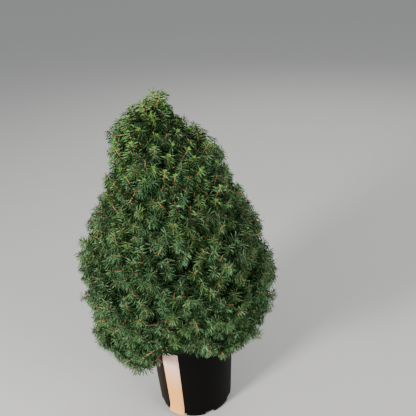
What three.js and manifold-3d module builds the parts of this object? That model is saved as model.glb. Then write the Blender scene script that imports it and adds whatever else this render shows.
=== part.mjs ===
// A dwarf Alberta spruce in a black nursery pot: pot, soil, label, trunk, boughs and masses of needles.
// Millimetres, +Z up. The origin is the centre of the pot's flat underside, and -Y faces the viewer.
import * as THREE from "three";
import { mergeVertices } from "three/addons/utils/BufferGeometryUtils.js";
import Module from "manifold-3d";

const wasm = await Module();
wasm.setup();

// Driving dimensions of the pot
const GAP = 0.3; // air between two pieces that touch
const POT_HEIGHT = 165;
const FOOT_RADIUS = 68;
const FOOT_BEVEL = 2.5;
const WALL_TOP_RADIUS = 76.5;
const RIM_RADIUS = 82.5;
const RIM_DEPTH = 8;
const RIM_ROUND = 1.5;
const WALL = 2;
const FLOOR = 3;
const POT_SIDES = 36;
const DRAIN_SLOTS = 8;
const DRAIN_WIDTH = 18;
const DRAIN_HEIGHT = 8;
const DRAIN_INWARD = 9;
const SOIL_TOP = 145;
const SOIL_EDGE_DROP = 3;
const SOIL_LEVEL_RADIUS = 45;

// Driving dimensions of the label strip on the pot's wall, its angles counted from the front
const LABEL_FROM = THREE.MathUtils.degToRad(-41.5);
const LABEL_TO = THREE.MathUtils.degToRad(-15.5);
const LABEL_LOW = 7;
const LABEL_HIGH = 152;
const LABEL_BEND = 24; // below this height the strip eases off the wall
const LABEL_LIFT = 5;
const LABEL_THICKNESS = 0.6;
const LABEL_COLUMNS = 4;
const LABEL_ROWS = 6;

// Driving dimensions of the trunk and the boughs
const TREE_TOP = 596;
const LEAN = -0.036; // sideways travel of the axis for each millimetre of height
const BOW = 3;
const TRUNK_TIP = 526;
const TRUNK_FOOT_RADIUS = 7;
const TRUNK_TIP_RADIUS = 2.5;
const TRUNK_SIDES = 10;
const TRUNK_RINGS = 11;
const FLARE = 5;
const FLARE_HEIGHT = 10;
const FLARE_LOBES = 5;
const FLARE_LOBE_DEPTH = 0.1;
const BOUGH_FOOT_RADIUS = 3.2;
const BOUGH_TIP_RADIUS = 1.9;
const BOUGH_RISE = 0.5; // how far a bough climbs for each millimetre that it goes out
const BOUGH_BEND = 0.45; // share of its span over which it levels out
const BOUGH_LOWEST = 14; // lowest foot over the soil
const BOUGH_STAGGER = 7; // neighbouring boughs leave the trunk at different heights
const STEM_SLOPE = 0.35;
const STEM_STUB = 6; // how far a stem stands out of its core towards the trunk
const TWIG_RADIUS = 1.2;

// Driving dimensions of the crown's outline
const BELT_HEIGHT = 270; // where the crown is widest
const CROWN_RADIUS = 166;
const HEM_LEFT = 121; // where the rounded underside would close on the axis
const HEM_RIGHT = 151;
const HEM_POWER = 3; // how closely the low hem keeps to the left side
const UNDERSIDE_POWER = 2.8; // roundness of the underside on the right
const UNDERSIDE_LEFT = 1.5; // how much squarer it is on the left
const CONE_START = 1.157; // share of the crown's radius that the cone's side would have at the belt
const CONE_LOSS = 0.9; // and what it loses from there to the top
const BELT_BLEND = 0.2; // how softly the cone runs into the belt
const NOSE_START = 0.71; // share of the climb at which the cone's nose begins to round off
const NOSE_POWER = 0.68;
const SHOULDER = 0.42; // how much fuller the left side is near the top
const SHOULDER_PLACE = 0.857;
const SHOULDER_WIDTH = 0.103;
const SLOPE_OFF = 0.62; // how much slighter the right side is just below the tip
const SLOPE_OFF_PLACE = 0.907;
const SLOPE_OFF_WIDTH = 0.087;
const BELLY = 0.072; // how much fuller the left side is over the belt
const BELLY_HEIGHT = 320;
const BELLY_WIDTH = 52;
const LUMP = 2.5;
const LUMPS = [
  { turns: 6, pitch: 19 },
  { turns: -4, pitch: 12 },
];

// Driving dimensions of the spaces that the masses keep to
const CREASE_DEPTH = 9;
const CREASE_WIDTH = 12;
const MOST_INSET = 0.35; // share of the crown's radius that insets may take
const CELL_GAP = 0.5;
const CORE_INSET = 14; // how far the core lies under the crown's skin
const CORE_BORDER = 2; // and from the border to the next mass
const CORE_INWARD = 0.5; // share of the way to the trunk that the core fills
const RIM_ROOM_RADIUS = 88;
const RIM_ROOM_HEIGHT = 172;
const LIMB_ROOM = 1;

// Driving dimensions of the sprays of needles
const SEED = 7;
const SPRAYS = 135;
const SPRAY_LENGTH = 36;
const SPRAY_RADIUS = 3;
const SPRAY_TAPER = 0.45;
const SPRAY_TWIST = (2 * Math.PI) / 3;
const SPRAY_BUD = 0.93; // share of the length at which the last ring closes to the bud
const TAIL_POWER = 0.6; // stretches the plain tail, which is sunk in the core
const NEEDLE = 15;
const NEEDLE_SWEEP = 0.75; // forward lean of a needle against its outward reach
const LEAST_NEEDLE = 0.5;
const LEAST_UPTURN = 0.15;
const MOST_UPTURN = 0.5;
const DRAW_IN_STEP = 3;
const MOST_DRAWN_IN = 20;

// Tiers of foliage from the hem to the tip. The hem's masses sit at a share of the way up to the belt,
// out is a share of the crown's radius, and turn is the first one's place as a share of the spacing.
const TIERS = [
  { name: "hem", rise: 0.42, out: 0.66, count: 6, turn: 0.2 },
  { name: "belt", height: 287, out: 0.67, count: 6, turn: 0.72 },
  { name: "middle", height: 356, out: 0.65, count: 5, turn: 0.35 },
  { name: "shoulder", height: 419, out: 0.62, count: 4, turn: 0.95 },
  { name: "neck", height: 480, out: 0.58, count: 3, turn: 0.1 },
];
const TIP_MASS_HEIGHT = 551;

const { lerp, clamp } = THREE.MathUtils;
const UP = new THREE.Vector3(0, 0, 1);
const GOLDEN_ANGLE = Math.PI * (3 - Math.sqrt(5));
const tree = new THREE.Group();

// A seeded random number from 0 to 1.
let seedState = SEED;
function random() {
  seedState = (seedState + 0x6d2b79f5) | 0;
  let mixed = Math.imul(seedState ^ (seedState >>> 15), 1 | seedState);
  mixed = (mixed + Math.imul(mixed ^ (mixed >>> 7), 61 | mixed)) ^ mixed;
  return ((mixed ^ (mixed >>> 14)) >>> 0) / 4294967296;
}

// A seeded factor that differs from 1 by up to the given share.
function vary(share) {
  return 1 + share * (2 * random() - 1);
}

// A geometry with positions alone, its shared corners merged.
function weld(geometry) {
  const bare = geometry.clone();
  bare.deleteAttribute("normal");
  bare.deleteAttribute("uv");
  return mergeVertices(bare, 1e-4);
}

// A closed geometry as a solid that can be cut and joined.
function solidOf(geometry) {
  const welded = weld(geometry);
  const mesh = new wasm.Mesh({
    numProp: 3,
    vertProperties: welded.attributes.position.array,
    triVerts: new Uint32Array(welded.index.array),
  });
  return new wasm.Manifold(mesh);
}

// A solid as a geometry.
function geometryOf(solid) {
  const mesh = solid.getMesh();
  return new THREE.BufferGeometry()
    .setAttribute("position", new THREE.BufferAttribute(mesh.vertProperties, 3))
    .setIndex(new THREE.BufferAttribute(mesh.triVerts, 1));
}

// The largest of a solid's separate bodies: loose scraps and sealed hollows fall away.
function mainBody(solid) {
  return solid.decompose().reduce((a, b) => (b.volume() > a.volume() ? b : a));
}

function addNode(name, geometry, look) {
  const material = new THREE.MeshStandardMaterial({ metalness: 0, flatShading: true, ...look });
  const mesh = new THREE.Mesh(geometry, material);
  mesh.name = name;
  tree.add(mesh);
}

// A closed cylinder of unit size whose every vertex is sent to place(along, side, other):
// along runs from 0 to 1, side and other are its place in the round section.
function bentCylinder(sides, steps, place) {
  const geometry = new THREE.CylinderGeometry(1, 1, 1, sides, steps);
  const position = geometry.attributes.position;
  for (let i = 0; i < position.count; i++) {
    const point = place(position.getY(i) + 0.5, position.getX(i), position.getZ(i));
    position.setXYZ(i, point.x, point.y, point.z);
  }
  return geometry;
}

// Two directions square to a third one and to each other.
function sectionOf(direction) {
  const reference = Math.abs(direction.z) > 0.9 ? new THREE.Vector3(1, 0, 0) : UP;
  const across = new THREE.Vector3().crossVectors(reference, direction).normalize();
  return [across, new THREE.Vector3().crossVectors(across, direction)];
}

// A tapering limb along a curve, its section square to the curve.
function limb(curve, footRadius, tipRadius, sides, steps) {
  return bentCylinder(sides, steps, (along, side, other) => {
    const [across, third] = sectionOf(curve.getTangent(along));
    const radius = lerp(footRadius, tipRadius, along);
    return curve
      .getPoint(along)
      .addScaledVector(across, side * radius)
      .addScaledVector(third, other * radius);
  });
}

function straightLimb(from, to, footRadius, tipRadius, sides) {
  return limb(new THREE.LineCurve3(from, to), footRadius, tipRadius, sides, 1);
}

// Pot: a thin moulded wall with a rolled rim, a flat foot and drain slots through its lower corner
const rimLow = POT_HEIGHT - RIM_DEPTH;
const wallSlope = (WALL_TOP_RADIUS - FOOT_RADIUS) / rimLow;
const wallRadius = (height) => FOOT_RADIUS + wallSlope * height;
const innerRadius = (height) => wallRadius(height) - WALL;

// A solid of revolution about +Z from a profile of radius and height.
function turned(profile) {
  const points = profile.map(([radius, height]) => new THREE.Vector2(radius, height));
  return new THREE.LatheGeometry(points, POT_SIDES).rotateX(Math.PI / 2);
}

let pot = solidOf(
  turned([
    [0, 0],
    [FOOT_RADIUS - FOOT_BEVEL, 0],
    [wallRadius(FOOT_BEVEL), FOOT_BEVEL],
    [wallRadius(rimLow), rimLow],
    [RIM_RADIUS - RIM_ROUND, rimLow],
    [RIM_RADIUS, rimLow + RIM_ROUND],
    [RIM_RADIUS, POT_HEIGHT - RIM_ROUND],
    [RIM_RADIUS - RIM_ROUND, POT_HEIGHT],
    [RIM_RADIUS - 2 * RIM_ROUND, POT_HEIGHT],
    [innerRadius(rimLow), rimLow],
    [innerRadius(FLOOR), FLOOR],
    [0, FLOOR],
  ]),
);
for (let i = 0; i < DRAIN_SLOTS; i++) {
  const slot = new THREE.BoxGeometry(DRAIN_WIDTH, 2 * DRAIN_INWARD, 2 * DRAIN_HEIGHT);
  slot.translate(0, FOOT_RADIUS, 0);
  slot.rotateZ(((i + 0.5) / DRAIN_SLOTS) * 2 * Math.PI);
  pot = pot.subtract(solidOf(slot));
}
addNode("pot", geometryOf(pot), { color: 0x1c1b19, roughness: 0.62 });

// Soil: the root ball's potting mix, which fills the pot to a thumb's width below its rim
const soilEdge = SOIL_TOP - SOIL_EDGE_DROP;
const soil = turned([
  [0, FLOOR + GAP],
  [innerRadius(FLOOR + GAP) - GAP, FLOOR + GAP],
  [innerRadius(soilEdge) - GAP, soilEdge],
  [SOIL_LEVEL_RADIUS, SOIL_TOP],
  [0, SOIL_TOP],
]);
addNode("soil", soil, { color: 0x3a2c20, roughness: 0.95 });

// Label: a bare paper strip bent round the wall, its lower end easing off it
const labelStrip = new THREE.BoxGeometry(1, 1, 1, LABEL_COLUMNS, LABEL_ROWS, 1);
const labelPosition = labelStrip.attributes.position;
for (let i = 0; i < labelPosition.count; i++) {
  const angle = lerp(LABEL_FROM, LABEL_TO, labelPosition.getX(i) + 0.5);
  const height = lerp(LABEL_LOW, LABEL_HIGH, labelPosition.getY(i) + 0.5);
  const eased = Math.max(0, (LABEL_BEND - height) / (LABEL_BEND - LABEL_LOW)) ** 2;
  const face = labelPosition.getZ(i) > 0 ? LABEL_THICKNESS : 0;
  const radius = wallRadius(height) + GAP + LABEL_LIFT * eased + face;
  labelPosition.setXYZ(i, radius * Math.sin(angle), -radius * Math.cos(angle), height);
}
addNode("label_strip", labelStrip, { color: 0xe3cdb8, roughness: 0.6 });

// Trunk: a leaning, tapering stem with a root flare, from a flat cut on the soil up to its tip
const trunkLow = SOIL_TOP + GAP;
const trunkShare = (height) => clamp((height - trunkLow) / (TRUNK_TIP - trunkLow), 0, 1);
const flareShare = (height) => Math.exp((trunkLow - height) / FLARE_HEIGHT);

function axisAt(height) {
  return new THREE.Vector3(LEAN * height, BOW * Math.sin(Math.PI * trunkShare(height)), height);
}

function trunkRadius(height) {
  return lerp(TRUNK_FOOT_RADIUS, TRUNK_TIP_RADIUS, trunkShare(height)) + FLARE * flareShare(height);
}

// Rings lie closer together in the flare, and stand wider by the room given.
function trunkGeometry(room) {
  return bentCylinder(TRUNK_SIDES, TRUNK_RINGS, (along, side, other) => {
    const height = lerp(trunkLow, TRUNK_TIP, along ** 1.6);
    const lobe = Math.cos(FLARE_LOBES * Math.atan2(other, side)) * flareShare(height);
    const radius = (trunkRadius(height) + room) * (1 + FLARE_LOBE_DEPTH * lobe);
    const point = axisAt(height + (along === 1 ? room : 0));
    point.x += side * radius;
    point.y -= other * radius;
    return point;
  });
}
const barkLook = { color: 0x6a4d36, roughness: 0.9 };
addNode("trunk", trunkGeometry(0), barkLook);

// The crown's outline is its radius at a height, on the side of an azimuth counted from +X.
// Above the belt it is a soft cone with a round nose and a full left shoulder,
// slighter on the right below the tip, and below it a rounded underside that hangs lowest on the left.
// A low belly makes the left side fuller over the belt.
const leftShare = (azimuth) => (1 - Math.cos(azimuth)) / 2;
const hemHeight = (azimuth) => lerp(HEM_RIGHT, HEM_LEFT, leftShare(azimuth) ** HEM_POWER);
const swell = (place, centre, width) => Math.exp(-(((place - centre) / width) ** 2));

function underside(height, azimuth) {
  const fall = (BELT_HEIGHT - height) / (BELT_HEIGHT - hemHeight(azimuth));
  return Math.sqrt(1 - fall ** (UNDERSIDE_POWER * (1 + UNDERSIDE_LEFT * leftShare(azimuth) ** 2)));
}

function topside(height, azimuth) {
  const climb = (height - BELT_HEIGHT) / (TREE_TOP - BELT_HEIGHT);
  const cone = CONE_START - CONE_LOSS * climb;
  const blend = Math.max(BELT_BLEND - Math.abs(1 - cone), 0);
  const side = Math.min(1, cone) - blend ** 2 / (4 * BELT_BLEND);
  const nose = 1 - (Math.max(0, climb - NOSE_START) / (1 - NOSE_START)) ** 2;
  const fuller = SHOULDER * Math.max(0, -Math.cos(azimuth)) * swell(climb, SHOULDER_PLACE, SHOULDER_WIDTH);
  const slighter = SLOPE_OFF * Math.max(0, Math.cos(azimuth)) * swell(climb, SLOPE_OFF_PLACE, SLOPE_OFF_WIDTH);
  return side * nose ** NOSE_POWER * (1 + fuller - slighter);
}

function crownRadius(height, azimuth) {
  if (height >= TREE_TOP || height <= hemHeight(azimuth)) return 0;
  const lumps = LUMPS.map((lump) => Math.sin(lump.turns * azimuth + height / lump.pitch));
  const rough = CROWN_RADIUS + LUMP * lumps.reduce((a, b) => a + b);
  const belly = 1 + BELLY * Math.max(0, -Math.cos(azimuth)) * swell(height, BELLY_HEIGHT, BELLY_WIDTH);
  return rough * belly * (height < BELT_HEIGHT ? underside(height, azimuth) : topside(height, azimuth));
}

// Masses: each is a centre, and owns the part of the crown that is nearer to it than to any other centre
const masses = [];
for (const tier of TIERS) {
  for (let i = 0; i < tier.count; i++) {
    const azimuth = ((i + tier.turn) / tier.count) * 2 * Math.PI;
    const height = tier.height ?? lerp(hemHeight(azimuth), BELT_HEIGHT, tier.rise);
    const outward = new THREE.Vector3(Math.cos(azimuth), Math.sin(azimuth), 0);
    const centre = axisAt(height).addScaledVector(outward, tier.out * crownRadius(height, azimuth));
    masses.push({ name: tier.name + "_" + (i + 1), centre, outward, stagger: BOUGH_STAGGER * (i % 2) });
  }
}
const tipMass = { name: "tip", centre: axisAt(TIP_MASS_HEIGHT), outward: UP };
masses.push(tipMass);

// How far a point lies on the mass's own side of the nearest border between two masses.
function borderDistance(point, mass) {
  let nearest = Infinity;
  for (const other of masses) {
    if (other === mass) continue;
    const apart = mass.centre.distanceTo(other.centre);
    const squares = point.distanceToSquared(other.centre) - point.distanceToSquared(mass.centre);
    nearest = Math.min(nearest, squares / (2 * apart));
  }
  return nearest;
}

// Whether a point is in the mass's space: inside the crown and the borders, clear of trunk and pot.
// An inset draws in the skin, and a margin the borders.
function hasRoom(point, mass, inset = 0, margin = CELL_GAP) {
  const border = borderDistance(point, mass);
  if (border < margin) return false;
  if (point.z < RIM_ROOM_HEIGHT && Math.hypot(point.x, point.y) < RIM_ROOM_RADIUS) return false;
  const axis = axisAt(point.z);
  const out = Math.hypot(point.x - axis.x, point.y - axis.y);
  const crease = CREASE_DEPTH * Math.exp(-((border / CREASE_WIDTH) ** 2));
  const skin = crownRadius(point.z, Math.atan2(point.y - axis.y, point.x - axis.x));
  if (out > skin - Math.min(crease + inset, MOST_INSET * skin)) return false;
  return point.z > TRUNK_TIP + LIMB_ROOM || out > trunkRadius(point.z) + LIMB_ROOM;
}

// How far a mass's space goes from a point in a direction, to the millimetre.
function reach(from, direction, mass, inset, margin) {
  let distance = 0;
  while (hasRoom(from.clone().addScaledVector(direction, distance + 1), mass, inset, margin)) distance += 1;
  return distance;
}

function coreReach(direction, mass) {
  const turnedIn = Math.max(0, -direction.dot(mass.outward));
  return reach(mass.centre, direction, mass, CORE_INSET, CORE_BORDER) * lerp(1, CORE_INWARD, turnedIn);
}

// Boughs: one tapering limb from the trunk to each mass, rising and then levelling out to the mass's stem
for (const mass of masses) {
  if (mass === tipMass) {
    mass.stemFoot = axisAt(TRUNK_TIP + GAP);
    continue;
  }
  const inward = mass.outward.clone().setZ(STEM_SLOPE).normalize().negate();
  mass.stemFoot = mass.centre.clone().addScaledVector(inward, coreReach(inward, mass) + STEM_STUB);
  const end = mass.stemFoot.clone().addScaledVector(inward, GAP);
  const span = end.distanceTo(axisAt(end.z));
  const lowest = SOIL_TOP + BOUGH_LOWEST + mass.stagger;
  const foot = axisAt(Math.max(lowest, end.z - BOUGH_RISE * span - mass.stagger));
  const bend = end.clone().addScaledVector(inward, BOUGH_BEND * span);
  mass.boughCurve = new THREE.QuadraticBezierCurve3(foot, bend, end);
}
const boughMasses = masses.filter((mass) => mass.boughCurve);

function boughGeometry(mass, room) {
  return limb(mass.boughCurve, BOUGH_FOOT_RADIUS + room, BOUGH_TIP_RADIUS + room, 5, 3);
}

const trunkRoom = solidOf(trunkGeometry(GAP));
for (const mass of boughMasses) {
  const bough = mainBody(solidOf(boughGeometry(mass, 0)).subtract(trunkRoom));
  addNode("bough_" + mass.name, geometryOf(bough), barkLook);
}

// Sprays of needles: a slim three-sided spindle, each of its outer faces drawn out into a needle.
// The spindle's tail and its end caps stay plain, and a needle that would leave the space is shortened.
const spindle = weld(new THREE.CylinderGeometry(1, 1, 1, 3, 3));
const spindleCorners = [];
for (let i = 0; i < spindle.attributes.position.count; i++) {
  spindleCorners.push(new THREE.Vector3().fromBufferAttribute(spindle.attributes.position, i));
}
const isOnAxis = (corner) => Math.hypot(corner.x, corner.z) < 0.5;
const staysPlain = (corner) => isOnAxis(corner) || corner.y < -0.4;

function spray(foot, direction, mass) {
  const [across, third] = sectionOf(direction);
  const points = spindleCorners.map((corner) => {
    const along = corner.y + 0.5;
    const share = isOnAxis(corner) && along > 0.5 ? 1 : SPRAY_BUD * along ** TAIL_POWER;
    const radius = SPRAY_RADIUS * (1 - SPRAY_TAPER * along);
    const turn = SPRAY_TWIST * along;
    return foot
      .clone()
      .addScaledVector(direction, share * SPRAY_LENGTH)
      .addScaledVector(across, radius * (corner.x * Math.cos(turn) - corner.z * Math.sin(turn)))
      .addScaledVector(third, radius * (corner.x * Math.sin(turn) + corner.z * Math.cos(turn)));
  });
  const triangles = [];
  for (let i = 0; i < spindle.index.count; i += 3) {
    const [a, b, c] = spindle.index.array.slice(i, i + 3);
    if ([a, b, c].some((k) => staysPlain(spindleCorners[k]))) {
      triangles.push(a, b, c);
      continue;
    }
    const face = new THREE.Triangle(points[a], points[b], points[c]);
    const middle = face.getMidpoint(new THREE.Vector3());
    const lean = face.getNormal(new THREE.Vector3()).addScaledVector(direction, NEEDLE_SWEEP * vary(0.2));
    lean.normalize();
    let size = NEEDLE * vary(0.15);
    while (size > LEAST_NEEDLE && !hasRoom(middle.clone().addScaledVector(lean, size), mass)) size -= 1;
    const apex = points.push(middle.addScaledVector(lean, Math.max(size, LEAST_NEEDLE))) - 1;
    triangles.push(a, b, apex, b, c, apex, c, a, apex);
  }
  if (points.some((point) => !hasRoom(point, mass))) return null;
  const flat = new Float32Array(points.flatMap((point) => [point.x, point.y, point.z]));
  return new THREE.BufferGeometry()
    .setAttribute("position", new THREE.BufferAttribute(flat, 3))
    .setIndex(triangles);
}

// A twig from its root to the foot of a spray that ends at the tip, or as near to it as it fits.
function addShoot(mass, root, tip, direction) {
  for (let drawnIn = 1; drawnIn < MOST_DRAWN_IN; drawnIn += DRAW_IN_STEP) {
    const foot = tip.clone().addScaledVector(direction, -SPRAY_LENGTH - drawnIn);
    const shoot = spray(foot, direction, mass);
    if (!shoot) continue;
    const joint = foot.clone().addScaledVector(direction, SPRAY_RADIUS);
    mass.pieces.push(straightLimb(root, joint, TWIG_RADIUS * 1.5, TWIG_RADIUS, 3), shoot);
    return;
  }
}

// The shoots' ends are shared out evenly over the crown's skin by a golden-angle spiral.
// Each height is a share of the way from the hem to the top, taken from the running area of the skin.
function skinShares(count) {
  const steps = 600;
  const front = -Math.PI / 2;
  const heightAt = (step) => lerp(hemHeight(front), TREE_TOP, step / steps);
  const areas = [0];
  for (let i = 1; i <= steps; i++) {
    const here = crownRadius(heightAt(i), front);
    const before = crownRadius(heightAt(i - 1), front);
    const slant = Math.hypot(here - before, heightAt(i) - heightAt(i - 1));
    areas.push(areas[i - 1] + slant * (here + before));
  }
  return Array.from({ length: count }, (_, i) => {
    const wanted = ((i + 0.5) / count) * areas[steps];
    return areas.findIndex((area) => area >= wanted) / steps;
  });
}

for (const mass of masses) mass.pieces = [];
skinShares(SPRAYS).forEach((share, i) => {
  const azimuth = i * GOLDEN_ANGLE;
  const height = lerp(hemHeight(azimuth), TREE_TOP, share);
  const radial = new THREE.Vector3(Math.cos(azimuth), Math.sin(azimuth), 0);
  const end = axisAt(height).addScaledVector(radial, crownRadius(height, azimuth));
  const distances = masses.map((mass) => end.distanceTo(mass.centre));
  const mass = masses[distances.indexOf(Math.min(...distances))];
  // The twig leaves the stem at a seeded place, and the shoot at its end turns up towards the light.
  const root = mass.centre.clone().lerp(mass.stemFoot, 0.4 * random());
  const outward = end.sub(root).normalize();
  const tip = root.clone().addScaledVector(outward, reach(root, outward, mass));
  const direction = outward.clone().addScaledVector(UP, lerp(LEAST_UPTURN, MOST_UPTURN, random()));
  addShoot(mass, root, tip, direction.normalize());
});
addShoot(tipMass, tipMass.centre, axisAt(TREE_TOP), UP);

// The crown's cores are icosahedra blown up to their spaces
function coreGeometry(mass) {
  const core = new THREE.IcosahedronGeometry(1, 1);
  const position = core.attributes.position;
  const direction = new THREE.Vector3();
  for (let i = 0; i < position.count; i++) {
    direction.fromBufferAttribute(position, i).normalize();
    const point = mass.centre.clone().addScaledVector(direction, coreReach(direction, mass));
    position.setXYZ(i, point.x, point.y, point.z);
  }
  return core;
}

// Foliage: each mass is its core, stem, twigs and sprays joined into one solid, cut clear of pot and limbs
const rimRoom = new THREE.CylinderGeometry(RIM_ROOM_RADIUS, RIM_ROOM_RADIUS, RIM_ROOM_HEIGHT, POT_SIDES);
rimRoom.rotateX(Math.PI / 2).translate(0, 0, RIM_ROOM_HEIGHT / 2);
const boughRooms = boughMasses.map((mass) => solidOf(boughGeometry(mass, GAP)));
for (const mass of masses) {
  const stem = straightLimb(mass.stemFoot, mass.centre, BOUGH_TIP_RADIUS, TWIG_RADIUS, 5);
  let joined = solidOf(coreGeometry(mass));
  for (const piece of [stem, ...mass.pieces]) joined = joined.add(solidOf(piece));
  for (const room of [solidOf(rimRoom), trunkRoom, ...boughRooms]) joined = joined.subtract(room);
  addNode("foliage_" + mass.name, geometryOf(mainBody(joined)), { color: 0x35462a, roughness: 0.8 });
}

export default tree;
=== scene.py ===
# A potted dwarf Alberta spruce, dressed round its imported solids. Metres, +Z up, the viewer at -Y.
from math import cos, pi, radians, sin

import bpy
import numpy as np
from mathutils import Matrix, Vector


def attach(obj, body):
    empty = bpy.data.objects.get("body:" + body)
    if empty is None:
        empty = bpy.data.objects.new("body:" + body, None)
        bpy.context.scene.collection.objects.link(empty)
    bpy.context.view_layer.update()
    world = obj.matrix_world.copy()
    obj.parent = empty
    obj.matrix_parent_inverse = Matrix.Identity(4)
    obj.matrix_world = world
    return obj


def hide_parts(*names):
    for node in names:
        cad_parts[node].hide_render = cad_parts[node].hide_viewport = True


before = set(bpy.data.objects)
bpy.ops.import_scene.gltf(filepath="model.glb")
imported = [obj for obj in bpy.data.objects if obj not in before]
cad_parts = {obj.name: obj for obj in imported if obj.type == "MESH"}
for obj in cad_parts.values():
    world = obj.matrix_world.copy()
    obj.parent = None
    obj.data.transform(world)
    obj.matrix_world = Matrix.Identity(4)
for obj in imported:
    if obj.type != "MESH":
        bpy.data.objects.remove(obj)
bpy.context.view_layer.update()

# Camera: stands in front of the plant and a little to its right, at head height over a low bench,
# looking down on it and held slightly out of level.
CAMERA_PLACE = (0.045, -0.77, 0.77)
CAMERA_DIP = radians(26.0)
CAMERA_ROLL = radians(3.5)
CAMERA_LENS = 45.2

camera = bpy.data.objects.new("camera", bpy.data.cameras.new("camera"))
camera.data.lens = CAMERA_LENS
add_to_scene = bpy.context.scene.collection.objects.link
add_to_scene(camera)
bpy.context.scene.camera = camera
tilt = Matrix.Rotation(pi / 2 - CAMERA_DIP, 4, "X") @ Matrix.Rotation(-CAMERA_ROLL, 4, "Z")
camera.matrix_world = Matrix.Translation(CAMERA_PLACE) @ tilt

# Studio: a plain pale floor under a soft sky. The strongest lamp stands at the front left, a weaker and
# softer one at the front right, and one behind.
FLOOR_REACH = 15
FLOOR_DROP = 0.0002
FLOOR_COLOUR = "#cfcdc8"
SKY_COLOUR = "#dfe3e8"
SKY_STRENGTH = 0.56
LAMPS = [  # name, place, size and watts
    ("key", (-1.35, -1.25, 0.85), 0.4, 62),
    ("fill", (1.6, -1.3, 1.0), 1.2, 30),
    ("back", (0.6, 1.7, 1.9), 1.6, 18),
]
LAMP_AIM = Vector((0, 0, 0.3))


def colour(code):
    """An sRGB hex code as linear RGBA: c / 12.92 where c is small, else ((c + 0.055) / 1.055) ^ 2.4."""
    shares = [int(code[i:i + 2], 16) / 255 for i in (1, 3, 5)]
    return [c / 12.92 if c < 0.04045 else ((c + 0.055) / 1.055) ** 2.4 for c in shares] + [1]


def set_node(tree, node, settings, links):
    """Sets a node's sockets or its own options, and links its sockets to the (node, output) given."""
    for name, value in settings.items():
        if isinstance(name, int) or name in node.inputs:
            node.inputs[name].default_value = value
        else:
            setattr(node, name, value)
    for name, (source, output) in links.items():
        tree.links.new(source.outputs[output], node.inputs[name])
    return node


def add_node(tree, kind, settings, links):
    """Adds one shader node with its settings and links."""
    return set_node(tree, tree.nodes.new("ShaderNode" + kind), settings, links)


def new_material(name):
    """A new material, its node tree and its shader."""
    material = bpy.data.materials.new(name)
    material.use_nodes = True
    return material, material.node_tree, material.node_tree.nodes["Principled BSDF"]


def new_piece(name, points, faces, material=None, smooth=True):
    """A mesh object from an array of places and rows of corners, one row to a face."""
    points = np.asarray(points, np.float32).reshape(-1, 3)
    faces = np.asarray(faces, np.int32)
    mesh = bpy.data.meshes.new(name)
    mesh.vertices.add(len(points))
    mesh.vertices.foreach_set("co", points.ravel())
    mesh.loops.add(faces.size)
    mesh.polygons.add(len(faces))
    mesh.polygons.foreach_set("loop_start", np.arange(0, faces.size, faces.shape[1], dtype=np.int32))
    mesh.polygons.foreach_set("vertices", faces.ravel())
    mesh.update(calc_edges=True)
    mesh.polygons.foreach_set("use_smooth", np.full(len(faces), smooth))
    if material:
        mesh.materials.append(material)
    piece = bpy.data.objects.new(name, mesh)
    add_to_scene(piece)
    return piece


floor_paint, tree, shader = new_material("matt_floor_paint")
set_node(tree, shader, {"Base Color": colour(FLOOR_COLOUR), "Roughness": 0.9}, {})
floor_sides = (-1, -1), (1, -1), (1, 1), (-1, 1)
floor_corners = [(x * FLOOR_REACH, y * FLOOR_REACH, -FLOOR_DROP) for x, y in floor_sides]
floor = new_piece("floor", floor_corners, [(0, 1, 2, 3)], floor_paint)

world = bpy.data.worlds.new("studio")
world.use_nodes = True
sky = world.node_tree.nodes["Background"]
set_node(world.node_tree, sky, {"Color": colour(SKY_COLOUR), "Strength": SKY_STRENGTH}, {})
bpy.context.scene.world = world

for name, place, size, watts in LAMPS:
    lamp = bpy.data.objects.new(name, bpy.data.lights.new(name, "AREA"))
    lamp.data.size = size
    lamp.data.energy = watts
    lamp.location = place
    lamp.rotation_euler = (LAMP_AIM - Vector(place)).to_track_quat("-Z", "Y").to_euler()
    add_to_scene(lamp)

# Pot: a nursery pot of black polypropylene, injection moulded in one thin wall that widens to a
# rolled rim, with eight drain slots cut through the corner of its foot.
POT_HEIGHT = 0.165
FOOT_RADIUS = 0.068
FOOT_ROUND = 0.0025
WALL_TOP_RADIUS = 0.0765
RIM_RADIUS = 0.0825
RIM_DEPTH = 0.008
RIM_ROUND = 0.0015
WALL = 0.002
POT_FLOOR = 0.003
POT_SIDES = 160
WALL_STEPS = 24
ARC_STEPS = 6
SLOTS = 8
SLOT_WIDTH = 0.018
SLOT_INWARD = 0.009
SLOT_HEIGHT = 0.008
SLOT_ROUND = 0.003
POT_BLACK = "#060606"
# Dust tint, which on the left side also serves as painted light
POT_DUST_AND_LIGHT = "#6a5035"
DUST_PATCH = 0.03  # metres across a patch of dust
DUST_AND_LIT_SIDE = (-0.035, -0.075)  # metres along x, from the clean right of the wall to its dusty left, which is also painted lighter as if lit
DUST_AND_LIT_FILM = (0.004, 0.165)  # how much of the wall the pale film of dust and painted light hides on each of them
MOULD_GRAIN = 0.0009
UP = np.array([0.0, 0.0, 1.0])
MILLIMETRE = 0.001

rim_low = POT_HEIGHT - RIM_DEPTH


def mix(a, b, share):
    """Goes evenly from a to b."""
    return a + (b - a) * share


def wall_radius(height):
    """Outer radius of the pot: it grows evenly from the foot to the rim's underside."""
    return mix(FOOT_RADIUS, WALL_TOP_RADIUS, height / rim_low)


def arc(centre, radius, start, end):
    """Places (radius, height) on a round corner, from one angle to another in degrees."""
    turn = np.radians(np.linspace(start, end, ARC_STEPS))
    return np.stack([centre[0] + radius * np.cos(turn), centre[1] + radius * np.sin(turn)], -1)


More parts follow.
